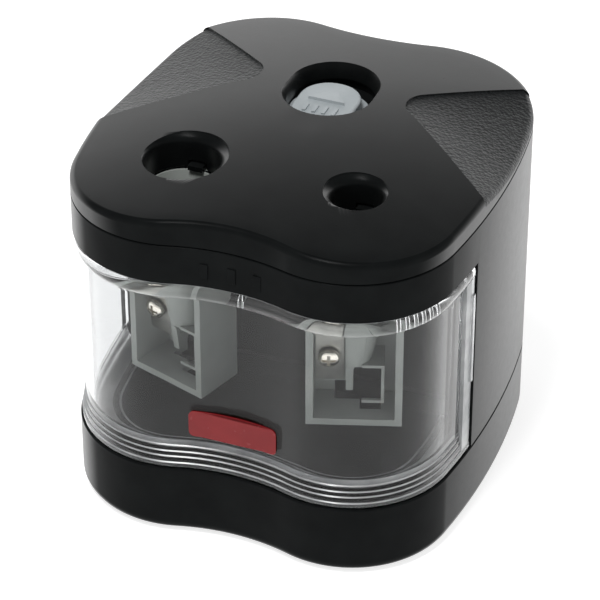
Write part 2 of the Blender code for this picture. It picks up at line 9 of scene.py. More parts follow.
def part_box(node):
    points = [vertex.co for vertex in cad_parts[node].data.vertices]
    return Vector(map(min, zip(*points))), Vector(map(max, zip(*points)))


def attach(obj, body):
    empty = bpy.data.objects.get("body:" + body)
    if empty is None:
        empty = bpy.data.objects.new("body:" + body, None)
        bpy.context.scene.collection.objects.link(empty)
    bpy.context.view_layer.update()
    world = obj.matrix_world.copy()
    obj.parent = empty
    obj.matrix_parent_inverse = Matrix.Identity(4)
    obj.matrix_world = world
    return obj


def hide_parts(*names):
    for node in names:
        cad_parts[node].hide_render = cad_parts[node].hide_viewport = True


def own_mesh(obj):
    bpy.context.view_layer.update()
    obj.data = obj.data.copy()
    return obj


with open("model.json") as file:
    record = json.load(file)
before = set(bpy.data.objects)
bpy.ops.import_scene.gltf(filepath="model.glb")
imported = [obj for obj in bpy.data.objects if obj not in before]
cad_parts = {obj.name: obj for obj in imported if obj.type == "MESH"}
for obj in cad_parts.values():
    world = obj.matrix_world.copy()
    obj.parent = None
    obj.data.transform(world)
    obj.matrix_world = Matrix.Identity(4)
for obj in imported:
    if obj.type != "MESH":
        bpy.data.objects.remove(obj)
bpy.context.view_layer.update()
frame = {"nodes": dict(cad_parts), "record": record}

MM = 0.001
NODES = frame["nodes"]

# Four-lobed outline of the body, in millimetres, seen from above
HALF_WIDTH = 40.0
LOBE_X, LOBE_Y, LOBE_R = 17.45, 19.6, 21.1
NOTCH_R = 41.0
SIDE_OFF = LOBE_X - HALF_WIDTH
SIDE_R = (LOBE_R**2 - SIDE_OFF**2 - LOBE_Y**2) / (2 * (SIDE_OFF + LOBE_R))
SIDE_X = HALF_WIDTH - SIDE_R
SIDE_ANGLE = math.atan2(LOBE_Y, LOBE_X - SIDE_X)
NOTCH_Y = LOBE_Y + math.sqrt((LOBE_R + NOTCH_R) ** 2 - LOBE_X**2)
NOTCH_ANGLE = math.atan2(NOTCH_Y - LOBE_Y, -LOBE_X)
LOBE_STEPS = 36

# Dome of the cover: its highest point and how far it falls at the side and at the front
CROWN_TOP, CROWN_DROP_X, CROWN_DROP_Y = 74.2, 2.95, 1.64


def node_low(node):
    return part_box(node)[0] / MM


def node_high(node):
    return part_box(node)[1] / MM


# Heights and walls, taken from the CAD nodes where they have them
GAP = 0.3
BASE_LOW, BASE_TOP = node_low("base_tray").z, node_high("base_tray").z
SHELL_LOW, SEAM = node_low("body_shell").z, node_high("body_shell").z
COVER_LOW = SEAM + GAP
DRAWER_LOW, DRAWER_TOP = node_low("drawer").z, node_high("drawer").z
DRAWER_BACK = node_high("drawer").y
WINDOW_TOP = DRAWER_TOP + GAP
DECK_TOP = WINDOW_TOP + 1.6
SKIN = 1.8
PARTITION_FRONT, PARTITION_BACK = DRAWER_BACK + GAP, DRAWER_BACK + GAP + 1.8
RIGHT_WALL_FRONT, RIGHT_WALL_INNER = -12.2, 38.2
DRAWER_INSET, DRAWER_WALL, DRAWER_FLOOR = 1.2, 1.4, 17.4
BEAD_LOW, BEAD_Z, BEAD_HALF, BEAD_OUT = 54.6, 56.75, 1.7, 0.85

# Places and radii seen from above
HOLE_X, HOLE_Y = 17.6, -18.7
COVER_BORES = {"left": 7.25, "right": 4.85}
CUTTER_BORES = {"left": 5.8, "right": 4.4}
CUTTER_TURNS = {"left": -18.0, "right": 19.0}
WELL_R, WELL_FRONT, WELL_BACK = 8.8, 12.1, 15.9
WELL_FLOOR = (66.9, 68.1)
SCOOP_X, SCOOP_Y, SCOOP_LENGTH = 12.7, 15.5, 27.0
SCOOP_BACK, SCOOP_FRONT = 0.773, -0.935
IDLER_Y, MOTOR_Y = -5.5, 12.5
SCREW_POST, SCREW_HOLE, SCREW_HEAD = 3.4, 1.3, 2.9
TICKS_X = (-5.0, 0.4, 5.6)
PLACES = ("front_left", "front_right", "rear_left", "rear_right")
CASE_SCREWS = [((node_low(f"case_screw_{p}") + node_high(f"case_screw_{p}")) / 2).xy for p in PLACES]


# Shapes, in millimetres


def box(low, high):
    bm = bmesh.new()
    bmesh.ops.create_cube(bm, size=1.0)
    size = Vector(high) - Vector(low)
    bmesh.ops.scale(bm, verts=bm.verts, vec=size)
    bmesh.ops.translate(bm, verts=bm.verts, vec=Vector(low) + size / 2)
    return bm


def loft(rings):
    """A solid through rings of the same number of points, closed by the first and the last."""
    bm = bmesh.new()
    rows = [[bm.verts.new(point) for point in ring] for ring in rings]
    count = len(rows[0])
    for low, high in zip(rows, rows[1:]):
        for k in range(count):
            after = (k + 1) % count
            bm.faces.new((low[k], low[after], high[after], high[k]))
    bm.faces.new(reversed(rows[0]))
    bm.faces.new(rows[-1])
    bmesh.ops.recalc_face_normals(bm, faces=bm.faces)
    return bm


def flat(points, z):
    return [(x, y, z) for x, y in points]


def prism(points, z_low, z_high):
    return loft([flat(points, z_low), flat(points, z_high)])


def side_prism(points, x_low, x_high):
    """A prism along X on an outline of (y, z) points."""
    return loft([[(x, y, z) for y, z in points] for x in (x_low, x_high)])


def lathe(profile, centre=(0.0, 0.0), segments=64):
    """A solid turned about Z through (radius, z) points, closed flat at both ends."""
    turns = [2 * math.pi * k / segments for k in range(segments)]
    return loft(
        [[(centre[0] + r * math.cos(a), centre[1] + r * math.sin(a), z) for a in turns] for r, z in profile]
    )


def turned_ring(section, segments=96):
    """A ring turned about Z from a closed section of (radius, z) points."""
    bm = bmesh.new()
    turns = [2 * math.pi * k / segments for k in range(segments)]
    rows = [[bm.verts.new((r * math.cos(a), r * math.sin(a), z)) for r, z in section] for a in turns]
    for row, after in zip(rows, rows[1:] + rows[:1]):
        for k in range(len(section)):
            m = (k + 1) % len(section)
            bm.faces.new((row[k], row[m], after[m], after[k]))
    return bm


def rod(radius, z_low, z_high, centre=(0.0, 0.0), segments=64):
    return lathe([(radius, z_low), (radius, z_high)], centre, segments)


def coil(start, length, radius, turns, wire, steps=20, sides=10):
    """A compression spring of round wire, from start along +Y."""
    rings = []
    around = [2 * math.pi * k / sides for k in range(sides)]
    for k in range(turns * steps + 1):
        angle = 2 * math.pi * k / steps
        middle = Vector(start) + Vector((0, length * k / (turns * steps), 0))
        away = Vector((math.cos(angle), 0, math.sin(angle)))
        section = [(radius + wire * math.cos(a), wire * math.sin(a)) for a in around]
        rings.append([middle + away * out + Vector((0, up, 0)) for out, up in section])
    return loft(rings)


def arc(centre, radius, start, end, steps):
    """Points along an arc, leaving out its end."""
    angles = [start + (end - start) * k / steps for k in range(steps)]
    return [(centre[0] + radius * math.cos(a), centre[1] + radius * math.sin(a)) for a in angles]


def outline(inset=0.0):
    """The four-lobed outline, drawn in by inset all round."""
    lobe, notch, side = LOBE_R - inset, NOTCH_R + inset, SIDE_R - inset
    half = arc((SIDE_X, 0), side, -SIDE_ANGLE, SIDE_ANGLE, LOBE_STEPS // 3)
    half += arc((LOBE_X, LOBE_Y), lobe, SIDE_ANGLE, NOTCH_ANGLE, LOBE_STEPS)
    half += arc((0, NOTCH_Y), notch, NOTCH_ANGLE - math.pi, -NOTCH_ANGLE, LOBE_STEPS // 2)
    half += arc((-LOBE_X, LOBE_Y), lobe, math.pi - NOTCH_ANGLE, math.pi - SIDE_ANGLE, LOBE_STEPS)
    return half + [(-x, -y) for x, y in half]


def slot(radius, front, back, steps=28):
    """A slot along Y with round ends centred at front and back."""
    ends = arc((0, back), radius, 0, math.pi, steps) + [(-radius, back)]
    return ends + arc((0, front), radius, math.pi, 2 * math.pi, steps) + [(radius, front)]


def rounded(x_half, y_low, y_high, front_radius, back_radius, steps=12):
    """A rectangle with round corners."""
    quarter = math.pi / 2
    points = []
    corners = [
        (x_half - back_radius, y_high - back_radius, back_radius, 0),
        (back_radius - x_half, y_high - back_radius, back_radius, 1),
        (front_radius - x_half, y_low + front_radius, front_radius, 2),
        (x_half - front_radius, y_low + front_radius, front_radius, 3),
    ]
    for x, y, radius, turn in corners:
        points += arc((x, y), radius, turn * quarter, (turn + 1) * quarter, steps)
        end = (turn + 1) * quarter
        points.append((x + radius * math.cos(end), y + radius * math.sin(end)))
    return points


def clipped(points, axis, limit, side):
    """The part of an outline past a limit on one axis: side is 1 for larger values, -1 for smaller."""
    kept = []
    for a, b in zip(points, points[1:] + points[:1]):
        a_in, b_in = side * (a[axis] - limit) >= 0, side * (b[axis] - limit) >= 0
        if a_in:
            kept.append(a)
        if a_in != b_in:
            share = (limit - a[axis]) / (b[axis] - a[axis])
            kept.append(tuple(p + (q - p) * share for p, q in zip(a, b)))
    return kept


def crown(x, y):
    """Height of the domed top."""
    return CROWN_TOP - CROWN_DROP_X * (x / HALF_WIDTH) ** 2 - CROWN_DROP_Y * (y / HALF_WIDTH) ** 2


def domed(points, lift, scale=1.0):
    """A ring that follows the dome, lifted or sunk by lift and shrunk towards the middle by scale."""
    return [(x * scale, y * scale, crown(x * scale, y * scale) + lift) for x, y in points]


def fillet(radius, steps=5):
    """(run in, drop) pairs of a quarter round, from the vertical side up to the flat top."""
    angles = [math.pi / 2 * k / steps for k in range(steps + 1)]
    return [(radius * (1 - math.cos(a)), radius * (1 - math.sin(a))) for a in angles]


# Objects


def temporary(bm):
    mesh = bpy.data.meshes.new("temporary")
    bmesh.ops.recalc_face_normals(bm, faces=bm.faces)
    bm.to_mesh(mesh)
    bm.free()
    obj = bpy.data.objects.new("temporary", mesh)
    bpy.context.scene.collection.objects.link(obj)
    return obj


def carved(base, steps):
    """The mesh of a solid after a list of (operation, shape, material index) Boolean steps."""
    target = temporary(base)
    for _ in range(1 + max([index for _, _, index in steps], default=0)):
        target.data.materials.append(None)
    operands = []
    for operation, bm, index in steps:
        operand = temporary(bm)
        for _ in range(index + 1):
            operand.data.materials.append(None)
        for polygon in operand.data.polygons:
            polygon.material_index = index
        modifier = target.modifiers.new("step", "BOOLEAN")
        modifier.operation = operation
        modifier.object = operand
        modifier.material_mode = "INDEX"
        operands.append(operand)
    graph = bpy.context.evaluated_depsgraph_get()
    graph.update()
    mesh = bpy.data.meshes.new_from_object(target.evaluated_get(graph))
    for obj in [target, *operands]:
        bpy.data.objects.remove(obj, do_unlink=True)
    return mesh


def cut(bm, index=0):
    return ("DIFFERENCE", bm, index)


def add(bm, index=0):
    return ("UNION", bm, index)


def piece(name, mesh, materials, body, replaces=(), bevel=0.0, sharp=32, matrix=None):
    """Places a mesh made in millimetres as a finished piece on a CAD body."""
    if isinstance(mesh, bmesh.types.BMesh):
        mesh = carved(mesh, [])
    mesh.name = name
    if matrix is not None:
        mesh.transform(matrix)
    mesh.transform(Matrix.Diagonal((MM, MM, MM, 1)))
    indices = [polygon.material_index for polygon in mesh.polygons]
    mesh.materials.clear()
    for material in materials:
        mesh.materials.append(material)
    mesh.polygons.foreach_set("material_index", indices)
    mesh.shade_smooth()
    mesh.set_sharp_from_angle(angle=math.radians(sharp))
    obj = bpy.data.objects.new(name, mesh)
    bpy.context.scene.collection.objects.link(obj)
    if bevel:
        modifier = obj.modifiers.new("edges", "BEVEL")
        modifier.width = bevel * MM
        modifier.segments = 3
        modifier.limit_method = "ANGLE"
        modifier.angle_limit = math.radians(sharp)
        modifier.use_clamp_overlap = True
        modifier.harden_normals = True
    normals = obj.modifiers.new("normals", "WEIGHTED_NORMAL")
    normals.keep_sharp = True
    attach(obj, body)
    if replaces:
        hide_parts(*replaces)
    return obj


# Materials


class Nodes:
    """A short way to write a node material."""

    def __init__(self, name):
        self.material = bpy.data.materials.new(name)
        self.material.use_nodes = True
        self.tree = self.material.node_tree
        self.shader = self.tree.nodes["Principled BSDF"]
        coordinates = self.tree.nodes.new("ShaderNodeTexCoord")
        self.place = coordinates.outputs["Object"]

    def node(self, kind, **values):
        made = self.tree.nodes.new(kind)
        for key, value in values.items():
            name = key.replace("_", " ")
            if name in made.inputs:
                made.inputs[name].default_value = value
            else:
                setattr(made, key, value)
        return made

    def link(self, output, socket):
        self.tree.links.new(output, socket)

    def noise(self, size_mm, detail=3.0, rough=0.5, stretch=None):
        """Noise whose features are about size_mm across."""
        texture = self.node("ShaderNodeTexNoise", Scale=1.0 / (size_mm * MM), Detail=detail, Roughness=rough)
        place = self.place
        if stretch:
            mapping = self.node("ShaderNodeMapping", Scale=stretch)
            self.link(place, mapping.inputs["Vector"])
            place = mapping.outputs["Vector"]
        self.link(place, texture.inputs["Vector"])
        return texture.outputs["Fac"]

    def cells(self, size_mm):
        texture = self.node("ShaderNodeTexVoronoi", Scale=1.0 / (size_mm * MM))
        self.link(self.place, texture.inputs["Vector"])
        return texture.outputs["Distance"]

    def spread(self, factor, low, high):
        """Maps a 0 to 1 value to low to high."""
        made = self.node("ShaderNodeMapRange", To_Min=low, To_Max=high)
        self.link(factor, made.inputs["Value"])
        return made.outputs["Result"]

    def colours(self, factor, low, high):
        ramp = self.node("ShaderNodeValToRGB")
        ramp.color_ramp.elements[0].position = 0.3
        ramp.color_ramp.elements[0].color = (*low, 1)
        ramp.color_ramp.elements[1].position = 0.7
        ramp.color_ramp.elements[1].color = (*high, 1)
        self.link(factor, ramp.inputs["Fac"])
        self.link(ramp.outputs["Color"], self.shader.inputs["Base Color"])

    def bump(self, layers):
        """Stacks bumps: (height, depth in millimetres) pairs."""
        normal = None
        for height, depth in layers:
            made = self.node("ShaderNodeBump", Strength=1.0, Distance=depth * MM)
            self.link(height, made.inputs["Height"])
            if normal is not None:
                self.link(normal, made.inputs["Normal"])
            normal = made.outputs["Normal"]
        self.link(normal, self.shader.inputs["Normal"])

    def set(self, **values):
        for key, value in values.items():
            self.shader.inputs[key.replace("_", " ")].default_value = value
        return self.material


def satin_black(name, low, high, grain):
    """Black plastic that gains its sheen at a slant, in one of the finishes listed below."""
    n = Nodes(name)
    n.colours(n.noise(*grain["colour"]), low, high)
    n.link(n.spread(n.noise(1.6, 5), *grain["roughness"]), n.shader.inputs["Roughness"])
    slant = n.node("ShaderNodeLayerWeight", Blend=0.5)
    ramp = n.node("ShaderNodeMapRange", From_Min=grain["slant"][0], From_Max=grain["slant"][1])
    n.link(slant.outputs["Facing"], ramp.inputs["Value"])
    steep = n.node("ShaderNodeMath", operation="POWER")
    n.link(ramp.outputs["Result"], steep.inputs[0])
    steep.inputs[1].default_value = SHEEN_POWER
    sheen = n.spread(steep.outputs["Value"], SHEEN_LEAST, grain["sheen"])
    n.link(sheen, n.shader.inputs["Specular IOR Level"])
    if "cells" in grain:
        n.bump([(n.cells(grain["cells"][0]), grain["cells"][1]), (n.noise(0.3, 4, 0.7), 0.08)])
    else:
        n.bump([(n.noise(0.35, 4, 0.6), 0.01), (n.noise(18.0, 2), 0.02)])
    return n.material


def matt_plastic(name, low, high, roughness, grain_mm, grain_depth, spec=0.5):
    """Moulded plastic with a fine spark-eroded grain."""
    n = Nodes(name)
    n.colours(n.noise(6.0, 4), low, high)
    n.link(n.spread(n.noise(1.6, 5), roughness - 0.05, roughness + 0.06), n.shader.inputs["Roughness"])
    n.bump([(n.noise(grain_mm, 4, 0.6), grain_depth), (n.noise(18.0, 2), 0.02)])
    return n.set(Specular_IOR_Level=spec)


def clear_plastic(name, ior=1.3, glint_from=0.4):
    """Clear polystyrene with faint flow waves and a gloss that grows at a slant."""
    n = Nodes(name)
    n.colours(n.noise(20.0, 2), (0.97, 0.98, 0.985), (0.985, 0.995, 1.0))
    n.link(n.spread(n.noise(4.0, 3), 0.01, 0.045), n.shader.inputs["Roughness"])
    n.bump([(n.noise(14.0, 2), 0.03)])
    slant = n.node("ShaderNodeLayerWeight", Blend=0.5)
    glint = n.node("ShaderNodeMapRange", From_Min=glint_from, From_Max=glint_from + 0.4)
    n.link(slant.outputs["Facing"], glint.inputs["Value"])
    n.link(glint.outputs["Result"], n.shader.inputs["Coat Weight"])
    return n.set(Transmission_Weight=1.0, IOR=ior, Coat_IOR=1.8, Coat_Roughness=0.03)


def painted_highlight_edge(name):
    """Narrow moulded edges of clear plastic, coloured near white and partly opaque as a painted highlight:
    the white lines stand in for glints of light along the drawer's edges.
    """
    n = Nodes(name)
    n.colours(n.noise(9.0, 3), (0.55, 0.57, 0.58), (0.95, 0.96, 0.97))
    n.link(n.spread(n.noise(2.0, 3), 0.12, 0.3), n.shader.inputs["Roughness"])
    n.link(n.spread(n.noise(7.0, 3), 0.25, 0.8), n.shader.inputs["Transmission Weight"])
    return n.set(IOR=1.5)


def metal(name, low, high, roughness, stretch=(1, 1, 1), line_mm=0.3, depth=0.004):
    """Ground or drawn metal with fine lines."""
    n = Nodes(name)
    n.colours(n.noise(3.0, 4), low, high)
    lines = n.noise(line_mm, 3, stretch=stretch)
    n.link(n.spread(lines, roughness - 0.08, roughness + 0.1), n.shader.inputs["Roughness"])
    n.bump([(n.noise(line_mm, 3, stretch=stretch), depth)])
    return n.set(Metallic=1.0)


SHEEN_POWER, SHEEN_LEAST = 1.8, 0.03

# Black finishes: the slants where the sheen starts and is full, the size and detail of the colour noise,
# the range of roughness, the full sheen, and the size and depth of the grain cells
SMOOTH = {"slant": (0.3, 0.52), "colour": (6.0, 4), "roughness": (0.26, 0.32), "sheen": 0.6}
LOW = {"slant": (0.6, 0.85), "colour": (6.0, 4), "roughness": (0.26, 0.34), "sheen": 0.9}
GRAINED = {
    "slant": (0.3, 0.52),
    "colour": (0.7, 4, 0.7),
    "roughness": (0.3, 0.5),
    "sheen": 0.6,
    "cells": (0.7, 0.16),
}
BLACK_LOW, BLACK_HIGH = (0.005, 0.0056, 0.0058), (0.0075, 0.0085, 0.0086)


def make_materials():
    return {
        "black": satin_black("black_plastic", BLACK_LOW, BLACK_HIGH, SMOOTH),
        "low_black": satin_black("base_plastic", BLACK_LOW, BLACK_HIGH, LOW),
        "grain": satin_black("grained_plastic", (0.004, 0.0045, 0.0046), (0.022, 0.024, 0.025), GRAINED),
        "clear": clear_plastic("clear_plastic"),
        # Near-white painted highlight for the drawer's narrow edges
        "painted_highlight_edge": painted_highlight_edge("painted_highlight_edge"),
        "clear_bead": clear_plastic("clear_bead", 1.45, 0.3),
        "red": matt_plastic("label_film", (0.17, 0.005, 0.007), (0.21, 0.008, 0.01), 0.25, 0.8, 0.002, 0.3),
        "light": matt_plastic("button_grey", (0.35, 0.385, 0.4), (0.4, 0.435, 0.45), 0.42, 0.4, 0.01),
        "grey": matt_plastic("cutter_grey", (0.27, 0.29, 0.272), (0.33, 0.35, 0.332), 0.42, 0.6, 0.006),
        "nylon": matt_plastic("gear_nylon", (0.62, 0.6, 0.54), (0.7, 0.68, 0.62), 0.38, 0.5, 0.008),
        "steel": metal("drawn_steel", (0.5, 0.5, 0.5), (0.62, 0.62, 0.62), 0.3, (1, 1, 8)),
        "blade": metal("ground_steel", (0.3, 0.3, 0.28), (0.42, 0.42, 0.39), 0.34, (10, 1, 1)),
        "nickel": metal("nickel_plate", (0.72, 0.68, 0.6), (0.82, 0.79, 0.72), 0.2),
        "cell": matt_plastic("cell_sleeve", (0.03, 0.04, 0.07), (0.05, 0.06, 0.1), 0.3, 2.0, 0.002),
        "rubber": matt_plastic("rubber", (0.012,) * 3, (0.025,) * 3, 0.75, 0.3, 0.03, 0.3),
        "wire_red": matt_plastic("wire_red", (0.4, 0.01, 0.01), (0.5, 0.02, 0.02), 0.35, 0.6, 0.004),
        "wire_black": matt_plastic("wire_black", (0.012,) * 3, (0.02,) * 3, 0.35, 0.6, 0.004),
    }


SLOT_MATERIALS = {
    "black": "black",
    "clear": "clear",
    "label_red": "red",
    "button_grey": "light",
    "cutter_grey": "grey",
    "nylon": "nylon",
    "blade_steel": "blade",
    "steel": "steel",
    "nickel": "nickel",
    "cell": "cell",
    "rubber": "rubber",
    "wire_red": "wire_red",
    "wire_black": "wire_black",
}


def dress_cad_nodes():
    """Gives every CAD node the procedural material of its slot."""
    slots = {row["node"]: row["material_slot"] for row in frame["record"]["subparts"]}
    for name, obj in NODES.items():
        obj.data.materials.clear()
        obj.data.materials.append(M[SLOT_MATERIALS[slots[name]]])


# Top cover


def sunk(x, y):
    """How far a finger scoop lies under the dome: least at its edges, most half way along the rim."""
    out = max(0.5, abs(x) - SCOOP_X)
    across = (y - SCOOP_Y - SCOOP_FRONT * out) / ((SCOOP_BACK - SCOOP_FRONT) * out)
    across = min(1.0, max(0.0, across))
    return 0.4 + 8.0 * (out / SCOOP_LENGTH) ** 1.5 * across * (1 - across)


def cover_solid(outer, sink=None):
    """The cover's outside with a rounded edge, and the dome sunk by sink(x, y)."""

    def ring(points, lift, scale=1.0):
        return [(x, y, z - (sink(x, y) if sink else 0.0)) for x, y, z in domed(points, lift, scale)]

    rings = [flat(outline(outer), COVER_LOW)]
    rings += [ring(outline(outer + run), -drop) for run, drop in fillet(1.15)]
    rings += [ring(outline(outer + 1.15), 0.0, k / 14) for k in range(13, 0, -1)]
    return loft(rings)


def scoop_plan(side):
    """The scoop's rounded V, open to the side of the cover."""
    points = arc((20.2, 15.0), 5.0, math.pi * 1.5 - 0.45, math.pi - 0.95, 18)
    points += [(33.5, 31.6), (46.0, 31.6), (46.0, -10.5), (40.5, -10.5)]
    return [(side * x, y) for x, y in points]


def as_bmesh(mesh):
    bm = bmesh.new()
    bm.from_mesh(mesh)
    bpy.data.meshes.remove(mesh)
    return bm


def make_top_cover():
    inside = loft(
        [flat(outline(3.1), 65.0), flat(outline(3.1), 68.3), domed(outline(4.2), -3.2)]
        + [domed(outline(4.2), -2.2, scale) for scale in (0.5, 0.25)]
    )
    steps = [add(prism(outline(2.1), 65.6, 68.0)), cut(inside)]
    for side, bore in COVER_BORES.items():
        x = -HOLE_X if side == "left" else HOLE_X
        face = crown(x, HOLE_Y)
        steps.append(add(rod(bore + 1.6, 66.3, 72, (x, HOLE_Y))))
        flare = [(bore, 60.0), (bore, face - 1.7)]
        lip = ((0.12, 0.5), (0.4, 0.95), (0.85, 1.35), (1.5, 1.7))
        flare += [(bore + run, face - 1.7 + rise) for run, rise in lip]
        steps.append(cut(lathe([*flare, (bore + 2.2, face + 2.0)], (x, HOLE_Y), 96)))
        steps.append(cut(box((x - 1.9, HOLE_Y + 4, 66), (x + 1.9, HOLE_Y + 10, 67.8))))
    steps.append(add(prism(slot(WELL_R + 1.2, WELL_FRONT, WELL_BACK), WELL_FLOOR[0], 72)))
    steps.append(add(box((-2.5, 23.6, 64.2), (2.5, 25.2, 67.5))))
    flare = [(-0.9, WELL_FLOOR[1]), (-0.75, 71.2), (-0.5, 72.6), (0.0, 73.6), (1.4, 75.4)]
    steps.append(cut(loft([flat(slot(WELL_R + out, WELL_FRONT, WELL_BACK), z) for out, z in flare])))
    steps.append(cut(prism(slot(WELL_R, WELL_FRONT, WELL_BACK), WELL_FLOOR[1], 70.2)))
    steps.append(cut(box((-2.6, 7.6, 64), (2.6, 16.3, 70))))
    for side in (-1, 1):
        low = carved(prism(scoop_plan(side), 60, 80), [cut(cover_solid(-0.02, sunk))])
        steps.append(cut(as_bmesh(low), 1))
    mesh = carved(cover_solid(0.0), steps)
    piece("cover_shell", mesh, [M["black"], M["grain"]], "cover", ["top_cover"])


def make_slide_button():
    """A thumb block on a sliding disc, with a raised arrow and grip ribs."""
    low, high = node_low("slide_button"), node_high("slide_button")
    front = WELL_FRONT

    def block_plan(inset):
        return rounded(6.2 - inset, 4.0 + inset, 18.8 - inset, 4.6 - inset, 6.0 - inset)

    crest = [flat(block_plan(run), high.z - drop) for run, drop in fillet(0.55, 4)]
    block = loft([flat(block_plan(0.0), 69.0), *crest])
    disc = lathe([(8.1, WELL_FLOOR[1] + GAP), (8.4, 68.7), (8.4, 69.3), (8.1, 69.6)], (0, front), 72)
    arrow_low = [(-3.9, 10.8, 71.6), (3.9, 10.8, 71.6), (0, 16.6, 71.6)]
    arrow_high = [(-3.7, 11.0, 72.85), (3.7, 11.0, 72.85), (0, 16.4, 72.2)]
    arrow = loft([arrow_low, arrow_high])
    steps = [add(box((-2.2, 8.0, low.z), (2.2, 12.4, 69.2))), add(block), add(arrow)]
    for k in range(4):
        x = -3.0 + 2.0 * k
        steps.append(add(box((x - 0.35, 6.3, 71.6), (x + 0.35, 8.9, 72.65))))
    mesh = carved(disc, steps)
    piece("thumb_button", mesh, [M["light"]], "latch", ["slide_button"], bevel=0.12)


# Housing


def make_body_shell():
    edge = 45.0
    window = [
        (-edge, -edge),
        (edge, -edge),
        (edge, RIGHT_WALL_FRONT),
        (RIGHT_WALL_INNER, RIGHT_WALL_FRONT),
        (RIGHT_WALL_INNER, PARTITION_FRONT),
        (-edge, PARTITION_FRONT),
    ]
    inner = outline(SKIN)
    ends = [(SHELL_LOW, 0.15), (SHELL_LOW + 0.15, 0.0), (SEAM - 0.2, 0.0), (SEAM, 0.2)]
    steps = [
        cut(prism(window, 10, WINDOW_TOP)),
        cut(prism(clipped(inner, 1, PARTITION_BACK, 1), 10, WINDOW_TOP)),
        cut(prism(inner, DECK_TOP, 70)),
    ]
    for x, y in CASE_SCREWS:
        steps += [add(rod(SCREW_POST, BASE_TOP + 2 * GAP, 34, (x, y))), cut(rod(SCREW_HOLE, 10, 30, (x, y)))]
    for side in (-1, 1):
        stop, far = sorted((side * 27.5, side * 24.4))
        near = sorted((side * 22, side * 27.5))
        steps += [
            add(box((near[0], -4.0, 60), (near[1], 2.0, 66.0))),
            add(box((stop, -4.0, 65), (far, 2.0, 67.0))),
            cut(rod(9.3, 58, 62, (side * HOLE_X, HOLE_Y))),
            cut(rod(SCREW_HOLE, 58, 62, (side * 7.6, MOTOR_Y))),
        ]
    steps += [
        add(box((-21.5, 6.6, 60), (-18.5, 8.0, 67.0))),
        cut(rod(3.2, 58, 62, (0, MOTOR_Y))),
        cut(rod(1.8, 57, 62, (0, IDLER_Y))),
    ]
    for x in TICKS_X:
        y = -front_y(x)
        steps.append(add(box((x - 0.8, y - 0.22, 60.8), (x + 0.8, y + 1.0, 64.0))))
    mesh = carved(loft([flat(outline(inset), z) for z, inset in ends]), steps)
    piece("housing_shell", mesh, [M["low_black"]], "housing", ["body_shell"], bevel=0.15)


def front_y(x):
    """Distance from the middle to the front of the body in its centre notch."""
    return NOTCH_Y - math.sqrt(NOTCH_R**2 - x**2)


def make_base():
    """The lower moulding, with a round lower edge, screw posts, foot recesses and the battery opening."""
    ends = [(BASE_LOW, 1.0), (1.1, 0.62), (1.6, 0.28), (2.2, 0.07), (2.8, 0.0)]
    ends += [(BASE_TOP - 0.2, 0.0), (BASE_TOP, 0.2)]
    inner = outline(SKIN)
    steps = [cut(prism(inner, 2.8, 13.7)), cut(prism(clipped(inner, 1, -1.5, 1), 10.0, 20.0))]
    for x, y in CASE_SCREWS:
        steps.append(add(rod(SCREW_POST, 1.7, BASE_TOP - 0.2, (x, y))))
    low, high = node_low("battery_door"), node_high("battery_door")
    steps.append(cut(box((low.x - GAP, low.y - GAP, 0), (high.x + GAP, 45, high.z + GAP))))
    for x, y in CASE_SCREWS:
        steps += [cut(rod(SCREW_HEAD, 0, 4.0, (x, y))), cut(rod(SCREW_HOLE, 3, 20, (x, y)))]
    for place in PLACES:
        low, high = node_low(f"foot_{place}"), node_high(f"foot_{place}")
        middle, radius = (low + high) / 2, (high.x - low.x) / 2
        steps.append(cut(rod(radius + GAP, 0, 1.7, (middle.x, middle.y))))
    mesh = carved(loft([flat(outline(inset), z) for z, inset in ends]), steps)
    piece("base_pan", mesh, [M["low_black"]], "housing", ["base_tray"], bevel=0.12)


def make_door():
    low, high = node_low("battery_door"), node_high("battery_door")
    """The battery door, with five grip grooves and a thumb recess."""
    plan = clipped(clipped(clipped(outline(0.2), 1, low.y, 1), 0, high.x, -1), 0, low.x, 1)
    grooves = [low.y + 14 + 1.2 * k for k in range(5)]
    steps = [cut(box((-6, y, -1), (6, y + 0.6, low.z + 0.4))) for y in grooves]
    steps += [cut(rod(7.0, low.z - 9.0, low.z + 0.3, (0, high.y - 2.2)))]
    mesh = carved(prism(plan, low.z, high.z), steps)
    piece("bay_door", mesh, [M["black"]], "battery_door", ["battery_door"], bevel=0.15)


# Shavings drawer


